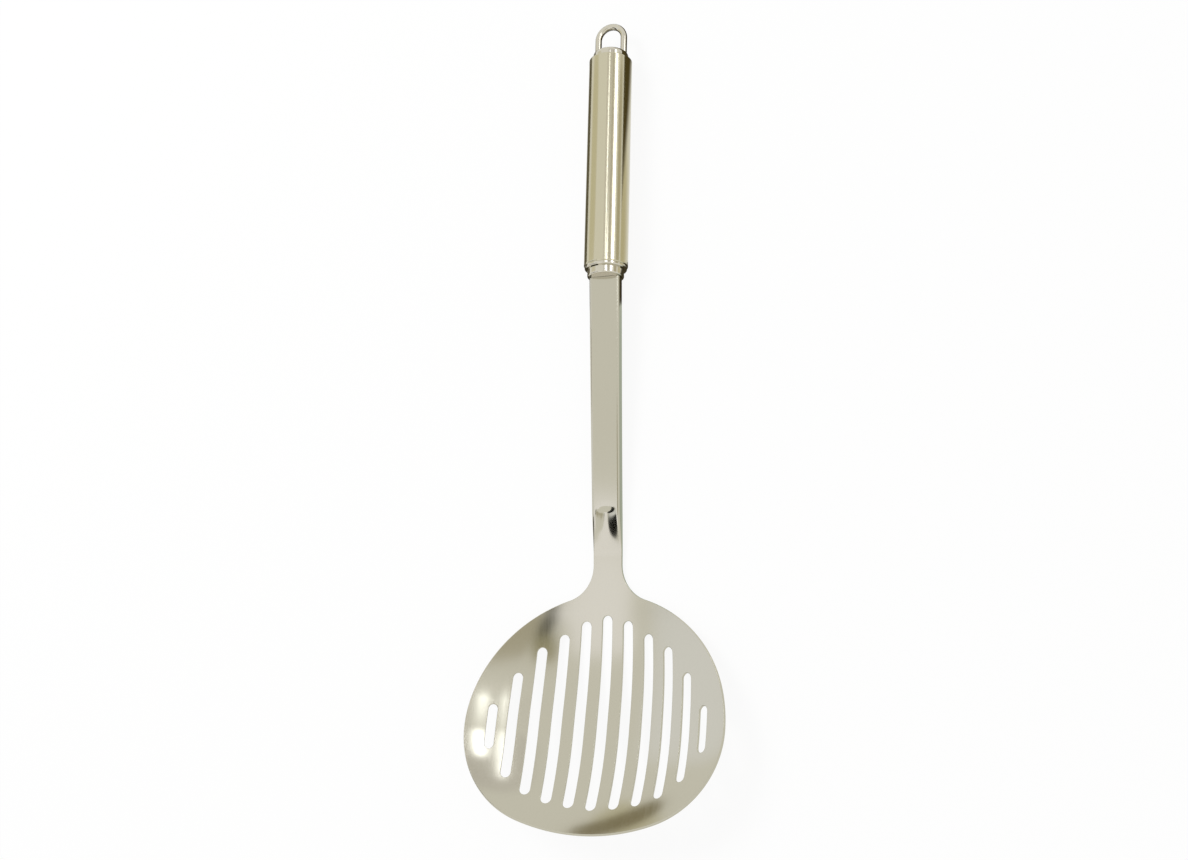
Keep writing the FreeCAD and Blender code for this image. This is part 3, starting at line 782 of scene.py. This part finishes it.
class SKIMMER_OT_handle(bpy.types.Operator):
    """Build the handle tube, the stepped collar at its lower end and the cap at its upper end"""
    bl_idname = "skimmer.handle"
    bl_label = "Tube, collar and cap"

    def execute(self, context):
        scene = context.scene
        sheet, handle, colours = scene.skimmer_sheet, scene.skimmer_handle, scene.skimmer_colours
        placement = handle_frame(sheet, handle)
        bright = steel(mirror_polished_steel, colours.fittings)
        outer = handle.tube_diameter / 2
        bore = outer - handle.tube_wall
        top = handle.tube_length
        tube = turned_piece(
            "brushed_tube", [(bore, 0), (outer, 0), (outer, top), (bore, top)],
            {1: handle.rim_radius, 2: handle.rim_radius},
        )
        keep_edges_crisp(tube)
        brushed = steel(brushed_stainless_tube, colours.tube)
        settle(tube, placement, "handle_tube", brushed)

        plug = bore - handle.plug_clearance
        band, ring = handle.band_diameter / 2, handle.ring_diameter / 2
        band_end = -handle.band_length
        ring_end = band_end - handle.ring_length
        collar = turned_piece("stepped_collar", [
            (0, ring_end), (ring, ring_end), (ring, band_end), (band, band_end),
            (band, 0), (plug, 0), (plug, handle.plug_length), (0, handle.plug_length),
        ], {1: handle.collar_radius, 3: handle.collar_radius})
        gap, cross = handle.shank_clearance, sheet.cross_radius
        half = sheet.shank_width / 2
        lift = cross - math.sqrt(cross ** 2 - (half - sheet.fold_radius) ** 2)
        front = -(handle.shank_offset + lift + gap)
        back = front + lift + sheet.channel_depth + 2 * gap
        low, high = (-half - gap, front, -PAST_COLLAR), (half + gap, back, PAST_COLLAR)
        cut_away(collar, box_cutter(low, high))
        keep_edges_crisp(collar)
        settle(collar, placement, "shank_collar", bright)

        head = handle.head_diameter / 2
        cap_top = top + handle.head_height
        cap_low = top - handle.plug_length
        cap = turned_piece("domed_cap", [
            (0, cap_low), (plug, cap_low), (plug, top), (head, top), (head, cap_top), (0, cap_top),
        ], {4: handle.head_radius})
        socket = handle.wire_diameter / 2 + handle.socket_clearance
        foot = cap_top - handle.socket_depth
        for side in (-1, 1):
            cutter = turned_piece(
                "cutter", [(0, foot), (socket, foot), (socket, PAST_CAP), (0, PAST_CAP)], {}
            )
            cutter.data.transform(Matrix.Translation((side * handle.leg_spacing / 2, 0, 0)))
            cut_away(cap, cutter)
        keep_edges_crisp(cap)
        settle(cap, placement, "end_cap", bright)
        return {"FINISHED"}


def wire_tree():
    """Geometry Nodes: a path whose corners are bent to a radius and swept with a round wire."""
    tree = bpy.data.node_groups.new("bent_wire", "GeometryNodeTree")
    face = tree.interface
    face.new_socket("Path", in_out="INPUT", socket_type="NodeSocketGeometry")
    for name in ("Bend radius", "Wire radius"):
        face.new_socket(name, in_out="INPUT", socket_type="NodeSocketFloat")
    face.new_socket("Material", in_out="INPUT", socket_type="NodeSocketMaterial")
    face.new_socket("Wire", in_out="OUTPUT", socket_type="NodeSocketGeometry")
    given = add_node(tree, "NodeGroupInput").outputs
    bent = add_node(
        tree, "GeometryNodeFilletCurve", {"mode": "POLY", "Count": WIRE_POINTS},
        {"Curve": given["Path"], "Radius": given["Bend radius"]},
    )
    section = add_node(
        tree, "GeometryNodeCurvePrimitiveCircle", {"Resolution": WIRE_POINTS},
        {"Radius": given["Wire radius"]},
    )
    swept = add_node(
        tree, "GeometryNodeCurveToMesh", {"Fill Caps": True},
        {"Curve": bent.outputs[0], "Profile Curve": section.outputs[0]},
    )
    shaded = add_node(tree, "GeometryNodeSetShadeSmooth", links={"Geometry": swept.outputs[0]})
    real = add_node(tree, "GeometryNodeRealizeInstances", links={"Geometry": shaded.outputs[0]})
    finished = add_node(
        tree, "GeometryNodeSetMaterial",
        links={"Geometry": real.outputs[0], "Material": given["Material"]},
    )
    add_node(tree, "NodeGroupOutput", links={0: finished.outputs[0]})
    return tree


class SKIMMER_OT_hanging_loop(bpy.types.Operator):
    """Bend the hanging loop from one wire, its legs standing in the cap"""
    bl_idname = "skimmer.hanging_loop"
    bl_label = "Hanging loop"

    def execute(self, context):
        scene = context.scene
        sheet, handle, colours = scene.skimmer_sheet, scene.skimmer_handle, scene.skimmer_colours
        leg = handle.leg_spacing / 2
        wire = handle.wire_diameter / 2
        cap_top = handle.tube_length + handle.head_height
        foot = cap_top - handle.socket_depth
        crown = cap_top + handle.loop_rise - wire
        curve = bpy.data.curves.new("loop_path", "CURVE")
        curve.dimensions = "3D"
        spline = curve.splines.new("POLY")
        corners = [(leg, foot), (leg, crown), (-leg, crown), (-leg, foot)]
        spline.points.add(len(corners) - 1)
        for point, (x, z) in zip(spline.points, corners):
            point.co = (x, 0, z, 1)
        path = bpy.data.objects.new("loop_path", curve)
        scene.collection.objects.link(path)
        bright = steel(mirror_polished_steel, colours.fittings)
        tree = wire_tree()
        bend = path.modifiers.new("bent_wire", "NODES")
        bend.node_group = tree
        # Two bends of just under half the spacing leave a short straight between them
        wanted = {"Bend radius": leg * 0.999, "Wire radius": wire, "Material": bright}
        for socket in tree.interface.items_tree:
            if socket.name in wanted:
                bend[socket.identifier] = wanted[socket.name]
        mesh = take_mesh(path)
        bpy.data.objects.remove(path)
        piece = bpy.data.objects.new("bent_wire_loop", mesh)
        scene.collection.objects.link(piece)
        settle(piece, handle_frame(sheet, handle), "hanging_loop", bright)
        return {"FINISHED"}


def leaning(across, along):
    """Direction at angles from the zenith, in degrees: across to +X and along to +Y."""
    lean = math.radians(math.hypot(across, along))
    turn = math.atan2(across, along)
    return Vector((
        math.sin(lean) * math.sin(turn), math.sin(lean) * math.cos(turn), math.cos(lean),
    ))


def calculation(tree, operation, first, second=None, clamp=False):
    """Maths on one output, or on it and a number or another output."""
    settings, links = {"operation": operation, "use_clamp": clamp}, {0: first}
    if isinstance(second, float):
        settings[1] = second
    elif second is not None:
        links[1] = second
    return add_node(tree, "ShaderNodeMath", settings, links).outputs[0]


def blend(tree, amount, first, second):
    """Mix of two shaders: the first where the amount is 0, the second where it is 1."""
    links = {0: amount, 1: first.outputs[0], 2: second.outputs[0]}
    return add_node(tree, "ShaderNodeMixShader", links=links).outputs[0]


def seen_directly(tree):
    """1 for what the camera, steel or glass sees, and 0 for the light that reaches the pieces."""
    rays = add_node(tree, "ShaderNodeLightPath").outputs
    seen = rays["Is Camera Ray"]
    for kind in ("Is Glossy Ray", "Is Transmission Ray"):
        seen = calculation(tree, "ADD", seen, rays[kind], clamp=True)
    return seen


def studio_card(name, place, back, width, height, turn, code, strength, softness):
    """A flat card that only reflections show: dark ones above the part are flags, bright ones are
    soft panels, and the dark and grey ones just over the floor are painted shade.

    Its back looks along a direction, and its height runs along Y before it is turned.
    """
    side = Vector((0, 1, 0)).cross(back).normalized()
    facing = Matrix((side, back.cross(side), back)).transposed().to_4x4()
    corners = [(-1, -1, 0), (1, -1, 0), (1, 1, 0), (-1, 1, 0)]
    card = finished_mesh(name, corners, [(0, 1, 2, 3)])
    spread = card.data.uv_layers.new(name="spread")
    for loop in card.data.loops:
        spread.data[loop.index].uv = corners[loop.vertex_index][:2]
    spin = Matrix.Rotation(math.radians(turn), 4, "Z")
    grow = Matrix.Diagonal((width / 2, height / 2, 1, 1))
    card.data.transform(Matrix.Translation(place) @ facing @ spin @ grow)
    material, tree = new_material(name)
    uv = add_node(tree, "ShaderNodeUVMap", {"uv_map": "spread"}).outputs[0]
    parts = add_node(tree, "ShaderNodeSeparateXYZ", links={0: uv})
    # Rounded square: the fourth powers of both distances from the middle
    powers = []
    for part in parts.outputs[:2]:
        powers.append(calculation(tree, "POWER", calculation(tree, "ABSOLUTE", part), 4.0))
    total = calculation(tree, "ADD", *powers)
    fade = add_node(
        tree, "ShaderNodeMapRange",
        {"interpolation_type": "SMOOTHSTEP", "From Min": (1 - softness) ** 4, "From Max": 1.0},
        {"Value": total},
    )
    glow = add_node(tree, "ShaderNodeEmission", {"Color": linear(code), "Strength": strength})
    clear = add_node(tree, "ShaderNodeBsdfTransparent")
    surface = blend(tree, fade.outputs[0], glow, clear)
    add_node(tree, "ShaderNodeOutputMaterial", links={"Surface": surface})
    card.data.materials.append(material)
    for rays in ("camera", "diffuse", "shadow", "transmission"):
        setattr(card, "visible_" + rays, False)


class SKIMMER_OT_studio(bpy.types.Operator):
    """Set up the camera, the paper floor, the room's light, the lamp and the cards"""
    bl_idname = "skimmer.studio"
    bl_label = "Studio"

    def execute(self, context):
        scene = context.scene
        settings = scene.skimmer_studio
        lens = bpy.data.cameras.new("camera")
        lens.lens, lens.sensor_width, lens.clip_start = settings.lens, 36, 0.01
        camera = bpy.data.objects.new("camera", lens)
        camera.location, camera.rotation_euler = settings.camera_place, settings.camera_turn
        scene.collection.objects.link(camera)
        scene.camera = camera
        scene.view_settings.view_transform = "Standard"

        half = settings.floor_side / 2
        corners = [(-half, -half, 0), (half, -half, 0), (half, half, 0), (-half, half, 0)]
        floor = finished_mesh("paper_floor", corners, [(0, 1, 2, 3)])
        material, tree = new_material("white_paper")
        amount = calculation(tree, "MULTIPLY", seen_directly(tree), settings.floor_white)
        paper = add_node(tree, "ShaderNodeBsdfDiffuse", {"Color": scene.skimmer_colours.floor})
        glow = add_node(tree, "ShaderNodeEmission", {"Strength": 1.0})
        surface = blend(tree, amount, paper, glow)
        add_node(tree, "ShaderNodeOutputMaterial", links={"Surface": surface})
        floor.data.materials.append(material)

        world = bpy.data.worlds.new("pale_room")
        scene.world = world
        world.use_nodes = True
        room = world.node_tree
        room.nodes.clear()
        pure_white = (1, 1, 1, 1)
        even = add_node(
            room, "ShaderNodeBackground", {"Color": pure_white, "Strength": settings.world_light}
        )
        white = add_node(room, "ShaderNodeBackground", {"Color": pure_white, "Strength": 1.0})
        surface = blend(room, seen_directly(room), even, white)
        add_node(room, "ShaderNodeOutputWorld", links={"Surface": surface})

        lamp = bpy.data.lights.new("soft_lamp", "AREA")
        lamp.size, lamp.energy = settings.lamp_size, settings.lamp_power
        light = bpy.data.objects.new("soft_lamp", lamp)
        light.location = settings.lamp_place
        light.rotation_euler = (-light.location).to_track_quat("-Z", "Y").to_euler()
        light.visible_glossy = False
        scene.collection.objects.link(light)

        # Cards above the part: the spot each is seen from, its angles across and along in degrees,
        # distance, width and height in metres, turn in degrees, colour, strength and softness
        left, tip = (-0.042, -0.125, 0.02), (0.012, -0.178, 0.022)
        neck, tube = (0, -0.055, 0.01), (0, 0.225, 0.01)
        cards = (
            ("camera_side_card", left, 16, 5, 0.75, 0.22, 0.24, -38, "#D3CEBF", 1.0, 0.3),
            ("camera_side_card_low", left, 25, 8, 0.74, 0.30, 0.21, 0, "#D3CEBF", 1.0, 0.5),
            ("camera_side_flag", left, 4, 4.5, 0.70, 0.064, 0.24, -38, "#2E2A16", 1.0, 0.6),
            ("camera_side_flag_foot", left, 6, 12, 0.69, 0.13, 0.09, 0, "#B5B090", 1.0, 0.9),
            ("far_flag", tip, -38, 67, 0.25, 0.082, 0.036, 70, "#968C70", 1.0, 0.15),
            ("front_flag", neck, -57, -17.5, 0.70, 0.84, 0.26, 1, "#0C0A08", 1.0, 0.15),
            ("bowl_spot", left, 24.4, 31, 0.72, 0.058, 0.20, 1, "#F0F4FF", 5.5, 0.5),
            ("bowl_strip", left, 16.1, 36, 0.80, 0.036, 0.42, 1, "#F0F4FF", 4.5, 0.5),
            ("low_left_card", left, 22, 40, 0.9, 0.6, 0.6, -12, "#EBE9EA", 1.0, 0.8),
            ("neck_card", neck, -18, 0, 0.35, 0.16, 0.05, 0, "#EEEEF8", 1.5, 0.7),
            ("neck_card_low", neck, -15, -11.5, 0.35, 0.185, 0.13, 0, "#EEEEF8", 1.5, 0.3),
            ("right_card", left, -55, 14, 0.8, 0.7, 0.7, 9, "#F3F5FF", 1.24, 0.9),
            ("tube_strip", tube, 52, 0, 0.25, 0.055, 0.21, 0, "#F2F4FF", 5.5, 0.15),
            ("tube_line", tube, 35, 0, 0.26, 0.030, 0.21, 0, "#CDC8B8", 1.0, 0.4),
            ("tube_left_card", tube, -64, 0, 0.25, 0.20, 0.20, 0, "#E8E4CE", 1.0, 0.8),
            ("tube_right_card", tube, 79, 0, 0.30, 0.12, 0.22, 0, "#CFC9B4", 1.0, 0.3),
        )
        for name, spot, across, along, distance, *look in cards:
            back = leaning(across, along)
            studio_card(name, Vector(spot) + back * distance, back, *look)

        # Strips just over the floor, seen only in reflections, are painted shade of the floor under
        # and beside the pieces: place, width and height in metres, colour and softness
        strips = (
            ("painted_shade_beside_tube", (0.0635, 0.262, 0.0005), 0.119, 0.30, "#5A5030", 0.2),
            ("painted_shade_beside_tube_low", (0.068, 0.095, 0.0003), 0.112, 0.09, "#DED8BE", 0.5),
            ("painted_shade_left_of_tube", (-0.058, 0.125, 0.0005), 0.085, 0.18, "#6A6450", 0.3),
            ("painted_shade_under_loop", (0, 0.186, 0.0010), 0.05, 0.04, "#4A4434", 0.5),
            ("painted_shade_under_collar", (0, 0.058, 0.0010), 0.08, 0.022, "#4A4434", 0.4),
            ("painted_shade_beside_shank", (0.012, -0.02, 0.0003), 0.05, 0.18, "#C9D2C9", 0.4),
        )
        up = Vector((0, 0, 1))
        for name, place, width, height, code, softness in strips:
            studio_card(name, Vector(place), up, width, height, 0, code, 1.0, softness)
        return {"FINISHED"}


class SKIMMER_PT_panel(bpy.types.Panel):
    bl_idname = "SKIMMER_PT_panel"
    bl_label = "Skimmer"
    bl_space_type = "VIEW_3D"
    bl_region_type = "UI"
    bl_category = "Skimmer"

    def draw(self, context):
        for operator in OPERATORS:
            self.layout.operator(operator.bl_idname)


OPERATORS = (SKIMMER_OT_sheet, SKIMMER_OT_handle, SKIMMER_OT_hanging_loop, SKIMMER_OT_studio)
GROUPS = {
    "skimmer_sheet": SheetSizes,
    "skimmer_handle": HandleSizes,
    "skimmer_colours": FinishColours,
    "skimmer_studio": StudioSettings,
}
CLASSES = (*GROUPS.values(), *OPERATORS, SKIMMER_PT_panel)


def register():
    for kind in CLASSES:
        bpy.utils.register_class(kind)
    for name, kind in GROUPS.items():
        setattr(bpy.types.Scene, name, bpy.props.PointerProperty(type=kind))


def unregister():
    for name in GROUPS:
        delattr(bpy.types.Scene, name)
    for kind in reversed(CLASSES):
        bpy.utils.unregister_class(kind)


def main():
    register()
    bpy.ops.skimmer.sheet()
    bpy.ops.skimmer.handle()
    bpy.ops.skimmer.hanging_loop()
    bpy.ops.skimmer.studio()


if __name__ == "__main__":
    main()
